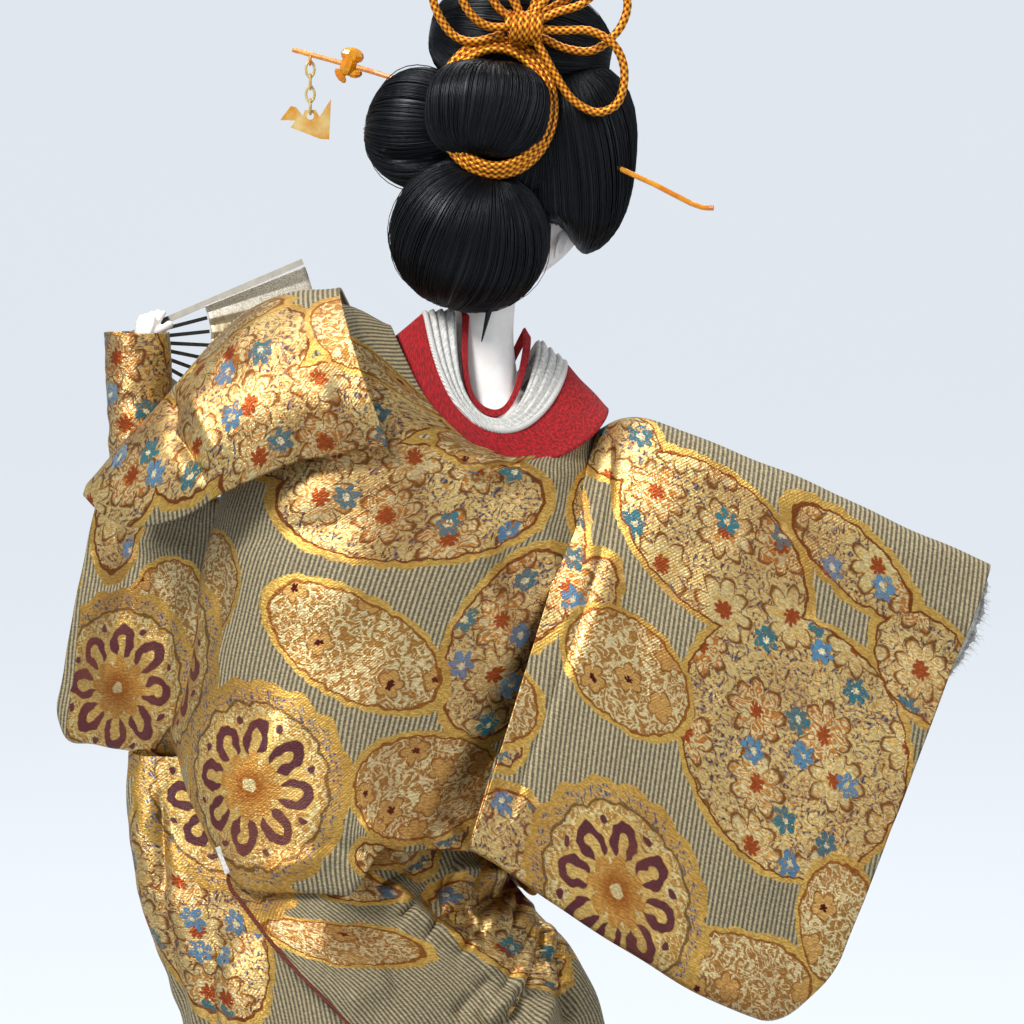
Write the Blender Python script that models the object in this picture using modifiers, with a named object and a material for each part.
"""A Japanese doll in a brocade robe, looking over its right shoulder, with an open fan and a hairpin chain.

Metres, +Z up, back towards -Y. The flat underside of the straw core is at the origin.
"""

import math

import bmesh
import bpy
from mathutils import Matrix, Vector

for startup in list(bpy.data.objects):
    bpy.data.objects.remove(startup)

# Clearances and walls
FIT = 0.0003
CLOTH = 0.0011
FACET_ROOM = 0.0004
LINING = 0.0008

# Straw core that carries the doll
CORE_FOOT = (0.018, 0.004, 0.0400, 0.0320)
CORE_WAIST = (-0.010, 0.002, 0.0334, 0.0225)
TORSO_FOOT = 0.375
TORSO_TOP = 0.80
TORSO_INSET = 0.010
TORSO_TUCK = 0.0055

# Robe body: x, y, height, tilt, yaw, half width, half depth, dip at the back, dip at the front
ROBE_STATIONS = (
    (-0.010, 0.002, 0.207, 0, 0, 0.043, 0.031, 0.000, 0.000),
    (-0.012, 0.000, 0.192, 3, 0, 0.048, 0.036, 0.006, 0.000),
    (-0.012, 0.000, 0.188, 4, 0, 0.054, 0.041, 0.010, 0.000),
    (-0.012, 0.000, 0.208, 5, 0, 0.054, 0.042, 0.004, 0.000),
    (-0.005, 0.000, 0.248, 7, 0, 0.055, 0.040, 0.000, 0.000),
    (0.002, 0.000, 0.284, 12, 4, 0.057, 0.039, 0.004, 0.004),
    (0.012, 0.001, 0.318, 18, 9, 0.055, 0.035, 0.012, 0.015),
    (0.020, 0.002, 0.341, 24, 15, 0.045, 0.029, 0.025, 0.030),
    (0.028, 0.003, 0.3435, 19, 20, 0.033, 0.023, 0.027, 0.034),
)
WAIST_HEIGHT = ROBE_STATIONS[0][2] - 0.001
WAIST_CORD_RADIUS = 0.0016
WAIST_CORD_INSET = 0.0028
ROBE_ROLL = 0.25
ROBE_LEFT_LIFT = 0.020
ROBE_COLUMNS = 26
ROBE_ROWS = 11

# Collars: inset and rise of the outer edge, inset and rise of the inner edge
RED_COLLAR = (0.0000, 0.0016, 0.0040, 0.0070)
PIPING_RADIUS = 0.0009
WHITE_COLLAR = (0.0058, 0.0080, 0.0088, 0.0104)
INNER_COLLAR = (0.0102, 0.0104, 0.0114, 0.0124)
COLLAR_COLUMNS = 24
COLLAR_LAP = 0.35

# Skirt: x, y, height, half width, half depth
SKIRT_STATIONS = (
    (0.020, 0.004, 0.0006, 0.070, 0.060),
    (0.018, 0.004, 0.030, 0.064, 0.054),
    (0.012, 0.003, 0.080, 0.058, 0.046),
    (0.003, 0.002, 0.130, 0.057, 0.042),
    (-0.004, 0.002, 0.160, 0.055, 0.039),
    (-0.008, 0.002, 0.175, 0.048, 0.034),
    (-0.010, 0.002, 0.189, 0.039, 0.0280),
    (-0.010, 0.002, 0.202, 0.035, 0.0245),
)
SKIRT_FOLDS = 7
SKIRT_FOLD_DEPTH = 0.0045
SKIRT_COLUMNS = 35
SKIRT_ROWS = 6
OVERLAP_STAND_OFF = 0.0034
OVERLAP_LEFT_EDGE = ((-0.040, 0.192), (-0.028, 0.173), (-0.007, 0.149), (0.012, 0.100), (0.030, 0.002))
OVERLAP_FRONT_END = -118
EDGE_PIPING_OFFSET = Vector((-0.0012, -0.0014, 0))
EDGE_PIPING_RADIUS = 0.0006
OVERLAP_COLUMNS = 21
OVERLAP_ROWS = 6

# Small strip of tape on the blouse's rolled edge, as shares of the robe's surface
TAPE_TURN = 0.350
TAPE_WIDTH_SHARE = 0.010
TAPE_ROW = 0.262
TAPE_ROWS = 0.028
TAPE_THICKNESS = 0.0003

# Standing fold of cloth at the left hip: x, y, height, half width
SIDE_FOLD_STATIONS = (
    (-0.0800, 0.004, 0.226, 0.0120),
    (-0.0800, 0.002, 0.206, 0.0150),
    (-0.0750, 0.000, 0.180, 0.0200),
    (-0.0670, -0.002, 0.155, 0.0200),
    (-0.0590, -0.002, 0.128, 0.0150),
)

# Right sleeve panel: upper and lower edge from the body seam to the cuff
RIGHT_SLEEVE_TOP = ((0.060, 0.006, 0.322), (0.076, -0.004, 0.3255), (0.125, -0.014, 0.306), (0.1735, -0.020, 0.2845))
RIGHT_SLEEVE_FOOT = ((0.024, -0.043, 0.204), (0.055, -0.044, 0.184), (0.094, -0.040, 0.160), (0.122, -0.034, 0.151))
RIGHT_SLEEVE_BULGE = 0.0100
LINING_TUCK = 0.0140
LINING_PROUD = 0.0035
RIGHT_SLEEVE_CUFF = 0.032
RIGHT_SLEEVE_RINGS = 7
RIGHT_SLEEVE_COLUMNS = 18

# Left sleeve folded up over the arm: upper edge, lower edge, back and front depth from the seam to the tip
FLAP_STATIONS = (
    (-0.016, 0.365, -0.001, 0.321, -0.043, 0.026),
    (-0.038, 0.361, -0.027, 0.3165, -0.041, 0.026),
    (-0.053, 0.349, -0.047, 0.308, -0.039, 0.024),
    (-0.065, 0.335, -0.061, 0.300, -0.035, 0.020),
    (-0.076, 0.323, -0.078, 0.297, -0.028, 0.012),
    (-0.0895, 0.3085, -0.0905, 0.305, -0.018, -0.011),
)
FLAP_COLUMNS = 9
FLAP_ROWS = 9
FLAP_FRONT_SHARE = 0.62

# Hanging part of the left sleeve
LEFT_DROP_TOP = ((-0.058, 0.000, 0.302), (-0.092, 0.034, 0.300))
LEFT_DROP_FOOT = ((-0.060, 0.000, 0.229), (-0.0985, 0.040, 0.233))
LEFT_DROP_BULGE = 0.0070

# Arms, hands and cuff
LEFT_SHOULDER = Vector((-0.008, 0.006, 0.338))
LEFT_ELBOW = Vector((-0.074, 0.008, 0.313))
LEFT_WRIST = Vector((-0.0755, 0.009, 0.3475))
RIGHT_SHOULDER = Vector((0.040, 0.000, 0.304))
RIGHT_ELBOW = Vector((0.104, -0.0160, 0.2985))
RIGHT_WRIST = Vector((0.146, -0.0200, 0.2775))
ARM_RADIUS = 0.0034
CUFF_RADIUS = 0.0092
CUFF_TOP = 0.3515
CUFF_FOOT = 0.312

# Head and neck
HEAD_CENTRE = Vector((0.035, 0.014, 0.391))
HEAD_RADII = (0.0205, 0.0220, 0.0260)
HEAD_ROLL = 19
HEAD_YAW = -20
NECK_PATH = (
    (0.0290, 0.010, 0.376, 0.0088),
    (0.0265, 0.007, 0.362, 0.0090),
    (0.0255, 0.005, 0.348, 0.0094),
    (0.0265, 0.004, 0.334, 0.0106),
    (0.0285, 0.004, 0.322, 0.0140),
    (0.0290, 0.004, 0.290, 0.0110),
)

# Hair bundles: centre, radii, roll
HAIR_CAP = ((0.036, 0.006, 0.404), (0.0245, 0.0245, 0.0225), 19)
NAPE_ROLL = ((0.0222, -0.009, 0.3805), (0.0232, 0.0205, 0.0223), 12)
LEFT_WING = ((0.0085, 0.006, 0.4115), (0.0173, 0.0165, 0.0178), 22)
RIGHT_WING = ((0.0510, 0.008, 0.4030), (0.0200, 0.0180, 0.0287), 6)
FRONT_ROLL = ((0.0450, 0.031, 0.4160), (0.0210, 0.0125, 0.0150), 19)
TOP_BUN = ((0.0368, 0.008, 0.4365), (0.0275, 0.0200, 0.0180), 10)
BACK_BARREL = ((0.0275, -0.0150, 0.4165), (0.0181, 0.0140, 0.0146), 4)
BUNDLE_GAP = 0.0004
WISP_TOP = Vector((0.0290, -0.0125, 0.3640))
WISP_TIP = Vector((0.0255, -0.0110, 0.3495))

# Hair cord
CORD_RADIUS = 0.00115
CORD_START = 0.4
BAND_CENTRE = Vector((0.0310, -0.0050, 0.4175))
BAND_RADII = (0.0160, 0.0182)
BAND_THICKNESS = 0.0018
KNOT_CENTRE = Vector((0.0379, -0.0165, 0.4403))
KNOT_RADII = (0.0057, 0.0050, 0.0047)
LOOP_DEPTHS = (-0.0145, -0.0182)
LOOP_ROUTES = (
    (0, ((0.0235, 0.4365), (0.0176, 0.4382), (0.0132, 0.4440), (0.0115, 0.4500), (0.0135, 0.4570), (0.0200, 0.4590),
         (0.0262, 0.4525), (0.0305, 0.4462))),
    (1, ((0.0274, 0.4408), (0.0226, 0.4441), (0.0197, 0.4500), (0.0215, 0.4560), (0.0270, 0.4570), (0.0320, 0.4520),
         (0.0355, 0.4468))),
    (0, ((0.0350, 0.4490), (0.0322, 0.4560), (0.0310, 0.4625), (0.0360, 0.4650), (0.0405, 0.4620), (0.0420, 0.4560),
         (0.0412, 0.4482))),
    (1, ((0.0425, 0.4465), (0.0465, 0.4515), (0.0505, 0.4560), (0.0560, 0.4565), (0.0580, 0.4510), (0.0545, 0.4470),
         (0.0470, 0.4446))),
    (0, ((0.0432, 0.4445), (0.0500, 0.4485), (0.0600, 0.4540), (0.0660, 0.4520), (0.0678, 0.4465), (0.0650, 0.4395),
         (0.0580, 0.4340), (0.0500, 0.4345), (0.0440, 0.4372))),
    (1, ((0.0480, 0.4395), (0.0570, 0.4393), (0.0640, 0.4350), (0.0668, 0.4275), (0.0650, 0.4190), (0.0590, 0.4160),
         (0.0520, 0.4195), (0.0470, 0.4265), (0.0425, 0.4345))),
)

# Hairpin
PIN_RADIUS = 0.00078
PIN_ROUTE = ((-0.0312, 0.0220, 0.4356), (0.0044, 0.0120, 0.4252), (0.0360, -0.0060, 0.4125), (0.0710, -0.0110, 0.3976),
             (0.0874, -0.0130, 0.3894), (0.0930, -0.0140, 0.3885))
PIN_BOW_X = -0.0144
EYE_X = -0.0260
EYE_RADIUS = 0.0013
WIRE = 0.0004
LINK_HALF_HEIGHT = 0.0024
LINK_HALF_WIDTH = 0.0013
LINKS = 4
CRANE_THICKNESS = 0.0008
CRANE_HOLE_RADIUS = 0.0011
SMALL_PIN_END = Vector((-0.0045, 0.0245, 0.4210))

# Fan
FAN_PIVOT = Vector((-0.0844, 0.0215, 0.3485))
FAN_RADIUS = 0.0606
FAN_LEAF_INNER = 0.0280
FAN_STICK_WIDTH = 0.0011
FAN_STICK_THICKNESS = 0.0004
FAN_STICK_PITCH = 0.0007
FAN_RIBS = 6
FAN_FIRST_ANGLE = 23
FAN_LAST_ANGLE = -38
FAN_YAW = 8
FAN_LEAF_MARGIN = 1.4
FAN_PLEAT_RIDGE = 0.0005
FAN_LEAF_THICKNESS = 0.0003
RIVET_RADIUS = 0.0005

doll = bpy.data.collections.new("japanese_doll")
cutters = bpy.data.collections.new("cutters")
cutters.hide_render = True
bpy.context.scene.collection.children.link(doll)
bpy.context.scene.collection.children.link(cutters)


def finish(name, colour, roughness, metallic=0.0):
    made = bpy.data.materials.new(name)
    made.use_nodes = True
    shader = made.node_tree.nodes["Principled BSDF"]
    shader.inputs["Base Color"].default_value = (*colour, 1)
    shader.inputs["Roughness"].default_value = roughness
    shader.inputs["Metallic"].default_value = metallic
    return made


SKIN = finish("shell_white", (0.90, 0.87, 0.84), 0.45)
HAIR = finish("black_silk", (0.012, 0.013, 0.018), 0.35)
GOLD_CORD = finish("gold_cord", (0.80, 0.36, 0.06), 0.35, 0.6)
AMBER = finish("amber_plastic", (0.95, 0.55, 0.06), 0.25)
PALE_AMBER = finish("pale_amber_plastic", (0.93, 0.80, 0.40), 0.25)
BROCADE = finish("brocade", (0.62, 0.46, 0.24), 0.5, 0.3)
RED_CREPE = finish("red_crepe", (0.62, 0.02, 0.03), 0.85)
WHITE_SILK = finish("white_silk", (0.86, 0.85, 0.82), 0.7)
LACQUER = finish("black_lacquer", (0.02, 0.02, 0.022), 0.25)
FAN_PAPER = finish("silver_paper", (0.70, 0.67, 0.62), 0.4, 0.3)
STRAW = finish("straw", (0.62, 0.52, 0.32), 0.9)
RUST_PIPING = finish("rust_piping", (0.42, 0.16, 0.08), 0.7)


def keep(mesh_object, name, material, smooth=40):
    """Names an object, gives it its material and moves it to the doll's collection."""
    for holder in list(mesh_object.users_collection):
        holder.objects.unlink(mesh_object)
    doll.objects.link(mesh_object)
    mesh_object.name = name
    mesh_object.data.name = name
    mesh_object.data.materials.clear()
    mesh_object.data.materials.append(material)
    if smooth:
        mesh_object.data.shade_smooth()
        mesh_object.data.set_sharp_from_angle(angle=math.radians(smooth))
    return mesh_object


def object_of(shape, name, material, smooth=40):
    mesh = bpy.data.meshes.new(name)
    bmesh.ops.recalc_face_normals(shape, faces=shape.faces)
    shape.to_mesh(mesh)
    shape.free()
    made = bpy.data.objects.new(name, mesh)
    bpy.context.scene.collection.objects.link(made)
    return keep(made, name, material, smooth)


def along(stations, t):
    """A smooth value between the rows of a table, t from 0 at the first row to 1 at the last."""
    place = min(max(t, 0.0), 1.0) * (len(stations) - 1)
    low = min(int(place), len(stations) - 2)
    part = place - low
    rows = [stations[min(max(low + step, 0), len(stations) - 1)] for step in (-1, 0, 1, 2)]
    return tuple(
        0.5 * (2 * b + (c - a) * part + (2 * a - 5 * b + 4 * c - d) * part**2 + (3 * b - a - 3 * c + d) * part**3)
        for a, b, c, d in zip(*rows)
    )


def grid_mesh(surface, columns, rows, closed):
    """A grid whose points are carried onto surface(u, v), with its seam welded when it closes on itself."""
    shape = bmesh.new()
    bmesh.ops.create_grid(shape, x_segments=columns, y_segments=rows, size=0.5)
    for point in shape.verts:
        point.co = surface(point.co.x + 0.5, point.co.y + 0.5)
    if closed:
        bmesh.ops.remove_doubles(shape, verts=shape.verts, dist=1e-6)
    return shape


def sheet(name, surface, columns, rows, material, wall, closed=False, offset=0.0):
    """A cloth of even thickness on surface(u, v)."""
    made = object_of(grid_mesh(surface, columns, rows, closed), name, material)
    thick = made.modifiers.new("wall", "SOLIDIFY")
    thick.thickness = wall
    thick.offset = offset
    return made


def filled(name, surface, columns, rows, material):
    """A closed tube on surface(u, v) with both ends filled, as one solid."""
    shape = grid_mesh(surface, columns, rows, True)
    bmesh.ops.holes_fill(shape, edges=shape.edges, sides=0)
    return object_of(shape, name, material)


def ellipsoid(name, centre, radii, roll, material, columns=14, rows=9):
    shape = bmesh.new()
    bmesh.ops.create_uvsphere(shape, u_segments=columns, v_segments=rows, radius=1)
    place = Matrix.Translation(centre) @ Matrix.Rotation(math.radians(roll), 4, "Y") @ Matrix.Diagonal((*radii, 1))
    bmesh.ops.transform(shape, matrix=place, verts=shape.verts)
    return object_of(shape, name, material)


def smooth_route(points, pieces):
    return [Vector(along(points, step / pieces)) for step in range(pieces + 1)]


def tube(name, points, radius, material, radii=None, closed=False):
    """A wire through points, made a mesh so that it can be cut and joined."""
    line = bpy.data.curves.new(name, "CURVE")
    line.dimensions = "3D"
    line.bevel_depth = radius
    line.bevel_resolution = 2
    line.use_fill_caps = not closed
    spline = line.splines.new("POLY")
    spline.points.add(len(points) - 1)
    spline.use_cyclic_u = closed
    for index, (target, point) in enumerate(zip(spline.points, points)):
        target.co = (*point, 1)
        target.radius = radii[index] / radius if radii else 1
    guide = bpy.data.objects.new(name, line)
    bpy.context.scene.collection.objects.link(guide)
    bpy.context.view_layer.update()
    mesh = bpy.data.meshes.new_from_object(guide.evaluated_get(bpy.context.evaluated_depsgraph_get()))
    place = guide.matrix_world.copy()
    bpy.data.objects.remove(guide)
    shape = bmesh.new()
    shape.from_mesh(mesh)
    bpy.data.meshes.remove(mesh)
    bmesh.ops.remove_doubles(shape, verts=shape.verts, dist=1e-6)
    made = object_of(shape, name, material)
    made.matrix_world = place
    return made


def evaluated_copy(source, name):
    bpy.context.view_layer.update()
    mesh = bpy.data.meshes.new_from_object(source.evaluated_get(bpy.context.evaluated_depsgraph_get()))
    made = bpy.data.objects.new(name, mesh)
    made.matrix_world = source.matrix_world.copy()
    return made


def as_cutter(tool):
    for holder in list(tool.users_collection):
        holder.objects.unlink(tool)
    cutters.objects.link(tool)
    tool.hide_render = True
    tool.display_type = "WIRE"
    return tool


def carve(target, *others, gap=FIT):
    """Cuts target back to a gap from each other piece."""
    for other in others:
        tool = as_cutter(evaluated_copy(other, f"{other.name}_space_in_{target.name}"))
        swell = tool.modifiers.new("gap", "DISPLACE")
        swell.strength = gap
        swell.mid_level = 0
        cut = target.modifiers.new(f"room_for_{other.name}", "BOOLEAN")
        cut.operation = "DIFFERENCE"
        cut.object = tool


def join(target, *others):
    """Makes the other shapes part of target."""
    for other in others:
        union = target.modifiers.new(f"with_{other.name}", "BOOLEAN")
        union.operation = "UNION"
        union.object = as_cutter(other)


def section_axes(tilt, yaw):
    """Right, back and up of a section that is turned by yaw and then tilted, left side high."""
    tilt, yaw = math.radians(tilt), math.radians(yaw)
    right = Vector((math.cos(yaw) * math.cos(tilt), math.sin(yaw) * math.cos(tilt), -math.sin(tilt)))
    back = Vector((math.sin(yaw), -math.cos(yaw), 0))
    up = Vector((math.cos(yaw) * math.sin(tilt), math.sin(yaw) * math.sin(tilt), math.cos(tilt)))
    return right, back, up


def robe_point(u, v, grow=0.0):
    x, y, z, tilt, yaw, wide, deep, dip_back, dip_front = along(ROBE_STATIONS, v)
    turn = u * math.tau
    right, back, up = section_axes(tilt, yaw)
    across, behind = math.cos(turn), math.sin(turn)
    dip = (dip_back if behind > 0 else dip_front) * abs(behind) ** 1.5
    lift = ROBE_LEFT_LIFT * max(0.0, -across) ** 2 * max(0.0, 1 - abs(v - 0.27) / 0.2)
    point = Vector((x, y, z)) + right * across * (wide + grow) + back * behind * (deep + grow)
    return point - up * dip + Vector((0, 0, lift))


def robe_solid_point(u, v):
    """The outside of the robe from its roll upwards, for cutting what lies on it."""
    return robe_point(u, ROBE_ROLL + (1 - ROBE_ROLL) * v, CLOTH / 2 + FACET_ROOM)


def build_body():
    def core_point(u, v):
        turn = u * math.tau
        x, y, wide, deep = (foot + (waist - foot) * v for foot, waist in zip(CORE_FOOT, CORE_WAIST))
        return Vector((x + wide * math.cos(turn), y + deep * math.sin(turn), WAIST_HEIGHT * v))

    lower = filled("lower_core", core_point, 24, 2, STRAW)

    def torso_point(u, v):
        point = robe_point(u, TORSO_FOOT + (TORSO_TOP - TORSO_FOOT) * v, -TORSO_INSET - TORSO_TUCK * (1 - v) ** 4)
        floor = WAIST_HEIGHT + FIT
        point.z = max(point.z, floor) if v > 0 else floor
        return point

    torso = filled("torso_core", torso_point, 24, 6, STRAW)
    robe = sheet("robe_body", robe_point, ROBE_COLUMNS, ROBE_ROWS, BROCADE, CLOTH, closed=True)
    return lower, torso, robe


def collar_ring(turn_share, inset, rise):
    """A point over the robe's neckline, with the front lapped left over right."""
    x, y, z, tilt, yaw, wide, deep, dip_back, dip_front = ROBE_STATIONS[-1]
    turn = (turn_share - 0.25) * math.tau
    right, back, up = section_axes(tilt, yaw)
    across, behind = math.cos(turn), math.sin(turn)
    dip = (dip_back if behind > 0 else dip_front) * abs(behind) ** 1.5
    slope = 1 + COLLAR_LAP * abs(across)
    point = Vector((x, y, z)) + right * across * (wide - inset * slope) + back * behind * (deep - inset)
    return point + up * (rise - dip)


def build_collars():
    def band(values):
        outer_inset, outer_rise, inner_inset, inner_rise = values
        return lambda u, v: collar_ring(
            u, outer_inset + (inner_inset - outer_inset) * v, outer_rise + (inner_rise - outer_rise) * v
        )

    red = sheet("red_collar", band(RED_COLLAR), COLLAR_COLUMNS, 2, RED_CREPE, CLOTH, closed=True)
    gap = CLOTH / 2 + FIT + PIPING_RADIUS
    edge_inset, edge_rise = RED_COLLAR[2], RED_COLLAR[3] + gap
    ring = [collar_ring(step / COLLAR_COLUMNS, edge_inset, edge_rise) for step in range(COLLAR_COLUMNS)]
    piping = tube("collar_piping", ring, PIPING_RADIUS, WHITE_SILK, closed=True)
    white = sheet("white_collar", band(WHITE_COLLAR), COLLAR_COLUMNS, 2, WHITE_SILK, CLOTH, closed=True)
    inner = sheet("inner_collar", band(INNER_COLLAR), COLLAR_COLUMNS, 1, RED_CREPE, LINING, closed=True)
    return red, piping, white, inner


def skirt_point(u, v, grow=0.0):
    x, y, z, wide, deep = along(SKIRT_STATIONS, 1 - v)
    turn = u * math.tau
    reach = 1 - v
    fold = SKIRT_FOLD_DEPTH * (1 - reach) * math.sin(SKIRT_FOLDS * turn + 2.2 * math.sin(turn) + 1.2 * (1 - reach))
    across, behind = math.cos(turn), math.sin(turn)
    return Vector((x + (wide + grow + fold) * across, y - (deep + grow + fold) * behind, z))


def skirt_solid_point(u, v):
    """The outside of both skirts, for cutting what stands against them."""
    return skirt_point(u, v, OVERLAP_STAND_OFF + CLOTH / 2)


def overlap_turn(height):
    """Where the outer skirt's slanting edge stands at a height, as a turn round the skirt."""
    heights = [z for _, z in OVERLAP_LEFT_EDGE]
    place = next((i for i, z in enumerate(heights[1:]) if height >= z), len(heights) - 2)
    (x_high, z_high), (x_low, z_low) = OVERLAP_LEFT_EDGE[place], OVERLAP_LEFT_EDGE[place + 1]
    share = min(max((z_high - height) / (z_high - z_low), 0.0), 1.0)
    edge = x_high + (x_low - x_high) * share
    for step in range(60):
        v = step / 59
        if along(SKIRT_STATIONS, 1 - v)[2] <= height:
            break
    x, _, _, wide, _ = along(SKIRT_STATIONS, 1 - v)
    return math.acos(min(max((edge - x) / wide, -1.0), 1.0)) / math.tau


def overlap_point(u, v):
    height = along(SKIRT_STATIONS, 1 - v)[2]
    start = overlap_turn(height)
    end = OVERLAP_FRONT_END / 360
    return skirt_point(start + (end - start) * u, v, OVERLAP_STAND_OFF)


def build_skirt():
    skirt = sheet("robe_skirt", skirt_point, SKIRT_COLUMNS, SKIRT_ROWS, BROCADE, CLOTH, closed=True)
    overlap = sheet("robe_overlap", overlap_point, OVERLAP_COLUMNS, OVERLAP_ROWS, BROCADE, CLOTH)
    carve(overlap, skirt)
    return skirt, overlap


def build_side_fold(robe_space, skirt_space):
    def fold_point(u, v):
        x, y, z, half = along(SIDE_FOLD_STATIONS, v)
        turn = math.radians(90 + 180 * u)
        return Vector((x + half + half * math.cos(turn), y - 0.75 * half * math.sin(turn), z))

    fold = sheet("left_side_fold", fold_point, 8, 8, BROCADE, CLOTH)
    carve(fold, robe_space, skirt_space)
    return fold


def pouch(name, top, foot, bulge, open_end, columns, rings, material, pinch=0.0022):
    """A sleeve panel of two layers, round like a flattened tube between an upper and a lower edge."""

    def point(u, v):
        upper, lower = Vector(along(top, v)), Vector(along(foot, v))
        share = 2 * u if u < 0.5 else 2 - 2 * u
        side = 1 if u < 0.5 else -1
        down = lower - upper
        eased = 0.5 - 0.5 * math.cos(math.pi * share)
        swell = math.sin(math.pi * share) ** 0.7 if 0 < share < 1 else 0
        near_cuff = max(0.0, (v - 0.72) / 0.28)
        closing = 1 - near_cuff * min(max((share * down.length - open_end) / 0.012, 0.0), 1.0)
        half = pinch * min(1.0, 3 * swell) + (bulge - pinch) * swell * closing
        return upper + down * eased + Vector((0, -side * half, 0))

    return sheet(name, point, columns, rings, material, CLOTH, closed=True)


def build_sleeves(robe_space):
    right = pouch("right_sleeve", RIGHT_SLEEVE_TOP, RIGHT_SLEEVE_FOOT, RIGHT_SLEEVE_BULGE, RIGHT_SLEEVE_CUFF,
                  RIGHT_SLEEVE_COLUMNS, RIGHT_SLEEVE_RINGS, BROCADE)
    drop = pouch("left_sleeve_drop", LEFT_DROP_TOP, LEFT_DROP_FOOT, LEFT_DROP_BULGE, 1.0, 20, 5, BROCADE)

    def flap_point(u, v):
        top_x, top_z, foot_x, foot_z, back, front = along(FLAP_STATIONS, u)
        share = v / FLAP_FRONT_SHARE
        if share <= 1:
            turn = math.radians(-25 + 115 * share)
            behind = math.cos(turn)
            rise = (math.sin(turn) + math.sin(math.radians(25))) / (1 + math.sin(math.radians(25)))
        else:
            over = (v - FLAP_FRONT_SHARE) / (1 - FLAP_FRONT_SHARE)
            turn = math.radians(90 + 80 * over)
            behind = math.cos(turn)
            rise = (math.sin(turn) + math.sin(math.radians(25))) / (1 + math.sin(math.radians(25)))
        middle, half = (back + front) / 2, (front - back) / 2
        return Vector((foot_x + (top_x - foot_x) * rise, middle - half * behind, foot_z + (top_z - foot_z) * rise))

    flap = sheet("left_sleeve_flap", flap_point, FLAP_COLUMNS, FLAP_ROWS, BROCADE, CLOTH)

    def cuff_point(u, v):
        turn = u * math.tau
        z = CUFF_FOOT + (CUFF_TOP - CUFF_FOOT) * v
        middle = LEFT_ELBOW.lerp(LEFT_WRIST, (z - LEFT_ELBOW.z) / (LEFT_WRIST.z - LEFT_ELBOW.z))
        return Vector((middle.x + CUFF_RADIUS * math.cos(turn), middle.y - CUFF_RADIUS * math.sin(turn), z))

    cuff = sheet("left_cuff", cuff_point, 18, 4, BROCADE, LINING, closed=True)
    cuff_space = as_cutter(filled("cuff_space", cuff_point, 18, 2, BROCADE))
    for piece in (right, drop, flap):
        carve(piece, robe_space)
    carve(flap, cuff_space, gap=LINING)
    carve(drop, cuff_space, gap=LINING)
    carve(drop, flap)
    carve(cuff, robe_space)
    return right, drop, flap, cuff


def build_lining(right_sleeve):
    top, foot = Vector(RIGHT_SLEEVE_TOP[-1]), Vector(RIGHT_SLEEVE_FOOT[-1])
    out = Vector((1, 0, -0.35)).normalized()

    def point(u, v):
        edge = top.lerp(foot, 0.03 + 0.26 * v)
        proud = LINING_PROUD * math.sin(math.pi * min(v + 0.12, 1))
        return edge + out * (-LINING_TUCK + (LINING_TUCK + proud) * u) + Vector((0, LINING, 0))

    lining = sheet("right_sleeve_lining", point, 4, 8, WHITE_SILK, LINING)
    carve(lining, right_sleeve)
    return lining


def build_arms():
    def arm(name, *points):
        return tube(name, smooth_route(points, 12), ARM_RADIUS, STRAW)

    left = arm("left_arm_wire", LEFT_SHOULDER, LEFT_SHOULDER.lerp(LEFT_ELBOW, 0.5), LEFT_ELBOW, LEFT_WRIST)
    right = arm("right_arm_wire", RIGHT_SHOULDER, RIGHT_SHOULDER.lerp(RIGHT_ELBOW, 0.5), RIGHT_ELBOW, RIGHT_WRIST)
    return left, right


def hand(name, wrist, towards, palm_normal, curl):
    """A small hand: a palm, four fingers side by side and a thumb."""
    towards = towards.normalized()
    normal = palm_normal.normalized()
    side = towards.cross(normal).normalized()
    start = wrist + towards * 0.0016
    palm = tube(name, [start, start + towards * 0.004, start + towards * 0.0085], 0.0034, SKIN,
                radii=[0.0026, 0.0036, 0.0034])
    fingers = []
    for index in range(4):
        root = start + towards * 0.0072 + side * (index - 1.5) * 0.0019
        tip = root + towards * (0.0068 - 0.0008 * abs(index - 1.2)) + normal * curl
        middle = root.lerp(tip, 0.55) + towards * 0.0006
        widths = [0.0012, 0.0011, 0.0008]
        fingers.append(tube(f"{name}_finger_{index}", [root, middle, tip], widths[0], SKIN, radii=widths))
    base = start + towards * 0.0028 - side * 0.0022
    thumb_tip = base - side * 0.0034 + towards * 0.0052 + normal * curl
    fingers.append(tube(f"{name}_thumb", [base, base.lerp(thumb_tip, 0.6) - side * 0.0006, thumb_tip], 0.0013, SKIN))
    join(palm, *fingers)
    return palm


def head_shape():
    shape = bmesh.new()
    bmesh.ops.create_uvsphere(shape, u_segments=16, v_segments=12, radius=1)
    for point in shape.verts:
        x, y, z = point.co
        jaw = max(0.0, -z)
        x *= 1 - 0.34 * jaw**1.6
        y = y * (1 - 0.10 * jaw) + 0.10 * jaw * (y > 0)
        nose = math.exp(-((x / 0.13) ** 2) - ((z + 0.20) / 0.20) ** 2) * (y > 0)
        point.co = (x, y + 0.13 * nose, z)
    turn = Matrix.Rotation(math.radians(HEAD_ROLL), 4, "Y") @ Matrix.Rotation(math.radians(HEAD_YAW), 4, "Z")
    bmesh.ops.transform(shape, matrix=Matrix.Translation(HEAD_CENTRE) @ turn @ Matrix.Diagonal((*HEAD_RADII, 1)),
                        verts=shape.verts)
    return object_of(shape, "head_and_neck", SKIN), turn.to_3x3()


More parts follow.
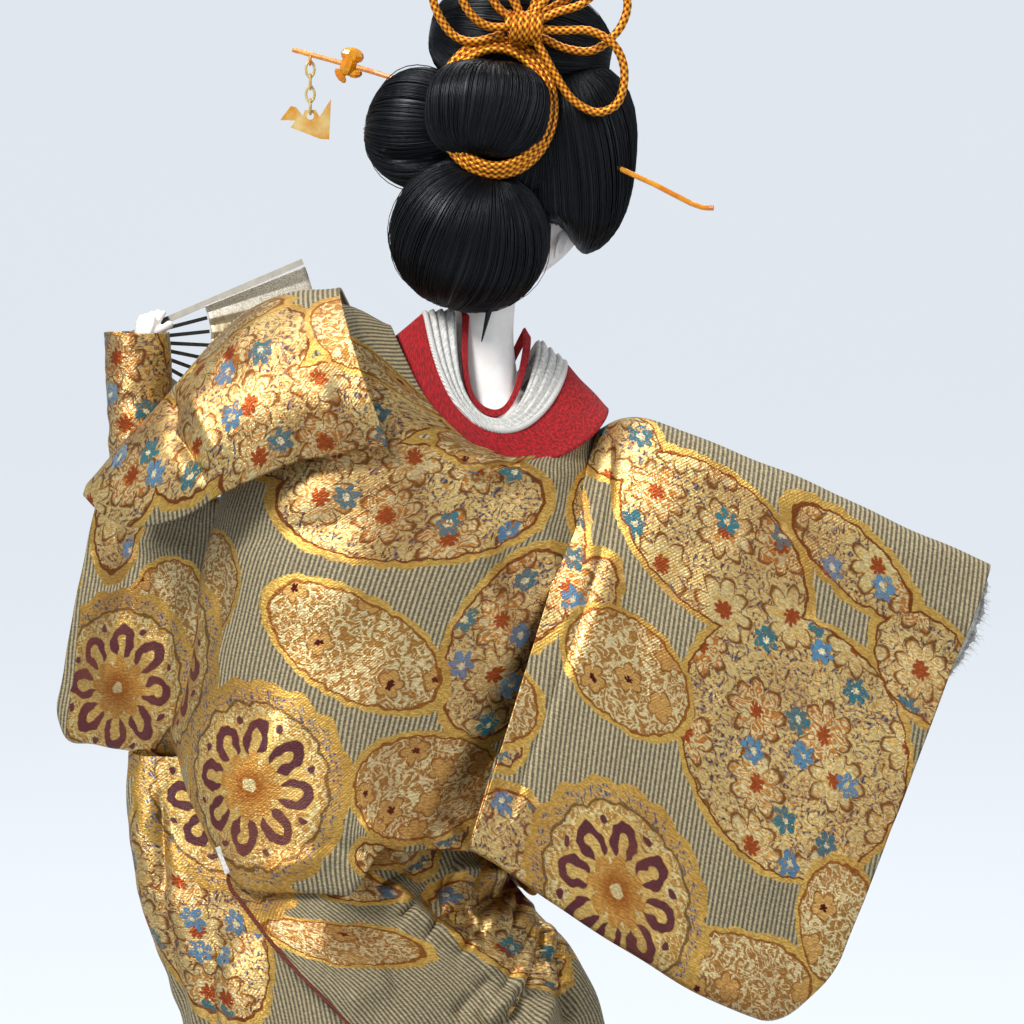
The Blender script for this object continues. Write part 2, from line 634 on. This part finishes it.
def build_head(torso):
    head, turn = head_shape()
    points = [along(NECK_PATH, step / 10) for step in range(11)]
    neck = tube("neck", [Vector(p[:3]) for p in points], 0.01, SKIN, radii=[p[3] for p in points])
    ears = []
    for side in (-1, 1):
        centre = HEAD_CENTRE + turn @ Vector((side * HEAD_RADII[0] * 0.96, -0.001, -0.0085))
        ears.append(ellipsoid(f"ear_{side}", centre, (0.0018, 0.0030, 0.0046), HEAD_ROLL, SKIN, 10, 7))
    join(head, neck, *ears)
    carve(torso, neck_space(points))
    return head


def neck_space(points):
    space = tube("neck_space", [Vector(p[:3]) for p in points], 0.01, SKIN, radii=[p[3] for p in points])
    return as_cutter(space)


def build_hair(head):
    bundles = {}
    spaces = []
    for name, (centre, radii, roll) in (
        ("hair_cap", HAIR_CAP),
        ("hair_nape_roll", NAPE_ROLL),
        ("hair_left_wing", LEFT_WING),
        ("hair_right_wing", RIGHT_WING),
        ("hair_front_roll", FRONT_ROLL),
        ("hair_top_bun", TOP_BUN),
        ("hair_back_barrel", BACK_BARREL),
    ):
        bundle = ellipsoid(name, Vector(centre), radii, roll, HAIR)
        carve(bundle, head)
        for space in spaces:
            cut = bundle.modifiers.new(f"beside_{space.name}", "BOOLEAN")
            cut.object = space
        wider = [radius + BUNDLE_GAP for radius in radii]
        spaces.append(as_cutter(ellipsoid(f"{name}_space", Vector(centre), wider, roll, HAIR)))
        bundles[name] = bundle
    wisp = tube("hair_nape_wisp", [WISP_TOP, WISP_TOP.lerp(WISP_TIP, 0.5), WISP_TIP], 0.0012, HAIR,
                radii=[0.0014, 0.0008, 0.0002])
    carve(wisp, bundles["hair_nape_roll"], head)
    return bundles


def build_cord():
    centre = BAND_CENTRE
    ring = []
    for step in range(20):
        turn = math.tau * step / 20
        ring.append(centre + Vector((BAND_RADII[0] * math.cos(turn), 0, BAND_RADII[1] * math.sin(turn))))
    band = tube("cord_band", ring, BAND_THICKNESS, GOLD_CORD, closed=True)
    knot = ellipsoid("cord_knot", KNOT_CENTRE, KNOT_RADII, 0, GOLD_CORD, 14, 9)
    for number, (level, route) in enumerate(LOOP_ROUTES, 1):
        depth = LOOP_DEPTHS[level]
        middle = Vector((KNOT_CENTRE.x, depth, KNOT_CENTRE.z))
        points = [Vector((x, depth, z)) for x, z in route]
        points = [middle.lerp(points[0], CORD_START), *points, middle.lerp(points[-1], CORD_START)]
        loop = tube(f"cord_loop_{number}", smooth_route(points, 16), CORD_RADIUS, GOLD_CORD)
        carve(loop, knot)
    return band, knot


def pin_at(x):
    """The hairpin's centre line on its straight left stretch, at a given x."""
    start, end = Vector(PIN_ROUTE[0]), Vector(PIN_ROUTE[1])
    return start.lerp(end, (x - start.x) / (end.x - start.x))


def ring_route(centre, half_width, half_height, plane, steps=10):
    """An oval of points: plane X for an oval that faces the back, plane Y for one turned edge on."""
    points = []
    for step in range(steps):
        turn = math.tau * step / steps
        out, up = half_width * math.cos(turn), half_height * math.sin(turn)
        points.append(centre + (Vector((out, 0, up)) if plane == "X" else Vector((0, out, up))))
    return points


def build_hairpin(bundles):
    rod = tube("hairpin_rod", smooth_route(PIN_ROUTE, 14), PIN_RADIUS, AMBER)
    eye_centre = pin_at(EYE_X) - Vector((0, 0, PIN_RADIUS + EYE_RADIUS * 0.78))
    eye = tube("hairpin_eye", ring_route(eye_centre, EYE_RADIUS, EYE_RADIUS, "Y"), WIRE, AMBER, closed=True)
    join(rod, eye)
    seat = eye_centre - Vector((0, 0, EYE_RADIUS))
    hang = 2 * WIRE + FIT
    for number in range(1, LINKS + 1):
        middle = seat + Vector((0, 0, hang - LINK_HALF_HEIGHT))
        plane = "X" if number % 2 else "Y"
        route = ring_route(middle, LINK_HALF_WIDTH, LINK_HALF_HEIGHT, plane)
        tube(f"chain_link_{number}", route, WIRE, PALE_AMBER, closed=True)
        seat = middle - Vector((0, 0, LINK_HALF_HEIGHT))
    build_crane(seat)
    bow_centre = pin_at(PIN_BOW_X)
    bow = ellipsoid("hairpin_bow", bow_centre, (0.0026, 0.0022, 0.0032), 17, AMBER, 9, 6)
    petals = [
        ellipsoid("bow_loop", bow_centre + Vector((0.0012, 0, 0.0030)), (0.0036, 0.0018, 0.0024), 14, AMBER, 9, 6),
        ellipsoid("bow_back", bow_centre + Vector((0.0020, 0, -0.0024)), (0.0022, 0.0014, 0.0014), 0, AMBER, 8, 5),
        ellipsoid("bow_tail", bow_centre + Vector((-0.0024, 0, -0.0030)), (0.0012, 0.0008, 0.0026), -34, AMBER, 8, 5),
    ]
    join(bow, *petals)
    pin_space = as_cutter(tube("pin_space", smooth_route(PIN_ROUTE, 14), PIN_RADIUS, AMBER))
    carve(bow, pin_space)
    for bundle in bundles.values():
        carve(bundle, pin_space)
    inside = SMALL_PIN_END + Vector((0.016, -0.012, -0.006))
    small = tube("small_hairpin", [SMALL_PIN_END, SMALL_PIN_END.lerp(inside, 0.5), inside], 0.0007, AMBER,
                 radii=[0.0012, 0.0007, 0.0006])
    carve(bundles["hair_left_wing"], small)


def build_crane(seat):
    """A flat folded-crane charm with wings up, hung by a hole at its back."""
    hole = seat + Vector((0, 0, WIRE + FIT - CRANE_HOLE_RADIUS))
    outline = ((-0.0090, -0.0012), (-0.0058, 0.0030), (-0.0042, 0.0026), (-0.0022, 0.0000), (-0.0016, 0.0018),
               (0.0016, 0.0018), (0.0028, -0.0002), (0.0062, 0.0050), (0.0056, -0.0070), (0.0028, -0.0068),
               (-0.0060, -0.0034), (-0.0044, -0.0014))
    shape = bmesh.new()
    lower = [shape.verts.new(hole + Vector((x, -CRANE_THICKNESS / 2, z))) for x, z in outline]
    face = shape.faces.new(lower)
    raised = bmesh.ops.extrude_face_region(shape, geom=[face])
    moved = [item for item in raised["geom"] if isinstance(item, bmesh.types.BMVert)]
    bmesh.ops.translate(shape, vec=(0, CRANE_THICKNESS, 0), verts=moved)
    crane = object_of(shape, "crane_pendant", PALE_AMBER, smooth=0)
    drill = bmesh.new()
    place = Matrix.Translation(hole) @ Matrix.Rotation(math.pi / 2, 4, "X")
    bmesh.ops.create_cone(drill, cap_ends=True, segments=14, radius1=CRANE_HOLE_RADIUS, radius2=CRANE_HOLE_RADIUS,
                          depth=CRANE_THICKNESS * 3, matrix=place)
    cut = crane.modifiers.new("hanging_hole", "BOOLEAN")
    cut.object = as_cutter(object_of(drill, "hanging_drill", PALE_AMBER))
    return crane


def fan_place(radius, angle, depth):
    turn = math.radians(angle)
    yaw = math.radians(FAN_YAW)
    along_fan = Vector((math.cos(yaw), math.sin(yaw), 0))
    normal = Vector((-math.sin(yaw), math.cos(yaw), 0))
    return FAN_PIVOT + along_fan * radius * math.cos(turn) + Vector((0, 0, radius * math.sin(turn))) + normal * depth


def fan_angle(index):
    return FAN_FIRST_ANGLE + (FAN_LAST_ANGLE - FAN_FIRST_ANGLE) * index / (FAN_RIBS + 1)


def fan_depth(index):
    return (index - (FAN_RIBS + 1) / 2) * FAN_STICK_PITCH


def build_stick(name, index, length, width):
    """One flat fan stick with a round eye at the rivet."""
    angle, depth = fan_angle(index), fan_depth(index)
    shape = bmesh.new()
    reach = ((-2.4 * RIVET_RADIUS, 0.8 * width), (0.0, width), (0.006, 0.55 * width), (length, 0.5 * width))
    lower_edge = [(radius, -half) for radius, half in reversed(reach)]
    corners = []
    for radius, half in (*reach, *lower_edge):
        flat = math.atan2(half, radius)
        corners.append(fan_place(math.hypot(radius, half), angle + math.degrees(flat), depth - FAN_STICK_THICKNESS / 2))
    face = shape.faces.new([shape.verts.new(corner) for corner in corners])
    raised = bmesh.ops.extrude_face_region(shape, geom=[face])
    moved = [item for item in raised["geom"] if isinstance(item, bmesh.types.BMVert)]
    lift = fan_place(0, 0, FAN_STICK_THICKNESS) - fan_place(0, 0, 0)
    bmesh.ops.translate(shape, vec=lift, verts=moved)
    return object_of(shape, name, LACQUER, smooth=0)


def build_fan():
    last = FAN_RIBS + 1
    sticks = [build_stick("fan_guard_near", 0, FAN_RADIUS, FAN_STICK_WIDTH * 1.7)]
    for index in range(1, last):
        sticks.append(build_stick(f"fan_rib_{index}", index, FAN_LEAF_INNER - FIT, FAN_STICK_WIDTH))
    sticks.append(build_stick("fan_guard_far", last, FAN_RADIUS, FAN_STICK_WIDTH * 1.7))
    pleats = 2 * last

    def leaf_point(u, v):
        place = u * last
        angle = fan_angle(place) - FAN_LEAF_MARGIN * (1 - 2 * u)
        ridge = FAN_PLEAT_RIDGE * (1 if round(u * pleats) % 2 else -1)
        radius = FAN_LEAF_INNER + (FAN_RADIUS - FAN_LEAF_INNER) * v
        return fan_place(radius, angle, fan_depth(place) + ridge)

    leaf = sheet("fan_leaf", leaf_point, pleats, 1, FAN_PAPER, FAN_LEAF_THICKNESS)
    carve(leaf, sticks[0], sticks[-1])
    length = FAN_STICK_PITCH * (FAN_RIBS + 1) + FAN_STICK_THICKNESS + 4 * FIT
    half = length / 2
    head = half + RIVET_RADIUS
    shank = tube("rivet_shank", [fan_place(0, 0, -half), fan_place(0, 0, half)], RIVET_RADIUS, LACQUER)
    for stick in sticks:
        carve(stick, shank, gap=0.0001)
    as_cutter(shank)
    steps = ((-head, 1.4), (-half - FIT, 2), (-half, 1), (half, 1), (half + FIT, 2), (head, 1.4))
    tube("fan_rivet", [fan_place(0, 0, depth) for depth, _ in steps], RIVET_RADIUS, LACQUER,
         radii=[RIVET_RADIUS * share for _, share in steps])
    return sticks


def build_waist_cord():
    station = ROBE_STATIONS[0]
    ring = []
    for step in range(20):
        turn = math.tau * step / 20
        wide, deep = station[5] - WAIST_CORD_INSET, station[6] - WAIST_CORD_INSET
        middle = Vector((station[0], station[1], WAIST_HEIGHT - WAIST_CORD_RADIUS / 2))
        ring.append(middle + Vector((wide * math.cos(turn), deep * math.sin(turn), 0)))
    return tube("waist_cord", ring, WAIST_CORD_RADIUS, RED_CREPE, closed=True)


def build_tape():
    """A small strip of tape left on the rolled edge of the blouse."""
    stand_off = CLOTH / 2 + FIT + TAPE_THICKNESS

    def point(u, v):
        return robe_point(TAPE_TURN + TAPE_WIDTH_SHARE * u, TAPE_ROW + TAPE_ROWS * v, stand_off)

    sheet("tape_strip", point, 2, 3, WHITE_SILK, TAPE_THICKNESS)


def build_trim():
    edge = [overlap_point(0.0, 0.12 + 0.86 * step / 14) for step in range(15)]
    points = [point + EDGE_PIPING_OFFSET for point in edge]
    return tube("edge_piping", points, EDGE_PIPING_RADIUS, RUST_PIPING)


def build_doll():
    lower, torso, robe = build_body()
    robe_space = as_cutter(filled("robe_space", robe_solid_point, ROBE_COLUMNS, ROBE_ROWS, BROCADE))
    skirt, overlap = build_skirt()
    skirt_space = as_cutter(filled("skirt_space", skirt_solid_point, SKIRT_COLUMNS, SKIRT_ROWS, BROCADE))
    build_side_fold(robe_space, skirt_space)
    right, drop, flap, cuff = build_sleeves(robe_space)
    lining = build_lining(right)
    left_arm, right_arm = build_arms()
    for arm in (left_arm, right_arm):
        carve(torso, arm)
        carve(robe, arm)
    carve(flap, left_arm)
    carve(cuff, left_arm)
    carve(drop, left_arm)
    head = build_head(torso)
    collars = build_collars()
    for collar in collars:
        carve(collar, robe, head)
    carve(collars[1], collars[0])
    bundles = build_hair(head)
    carve(collars[3], bundles["hair_nape_roll"])
    band, knot = build_cord()
    for bundle in bundles.values():
        carve(bundle, band, knot)
    carve(band, knot, head)
    build_hairpin(bundles)
    sticks = build_fan()
    left_hand = hand("left_hand", LEFT_WRIST, Vector((0.12, 0.95, 1)), Vector((0.3, 1, -0.4)), 0.004)
    carve(left_hand, left_arm, cuff, *sticks)
    right_hand = hand("right_hand", RIGHT_WRIST, RIGHT_WRIST - RIGHT_ELBOW, Vector((0, 0.6, -1)), 0.003)
    carve(right_hand, right_arm, right, lining)
    carve(torso, build_waist_cord())
    build_tape()
    trim = build_trim()
    carve(trim, skirt, overlap, robe)


build_doll()
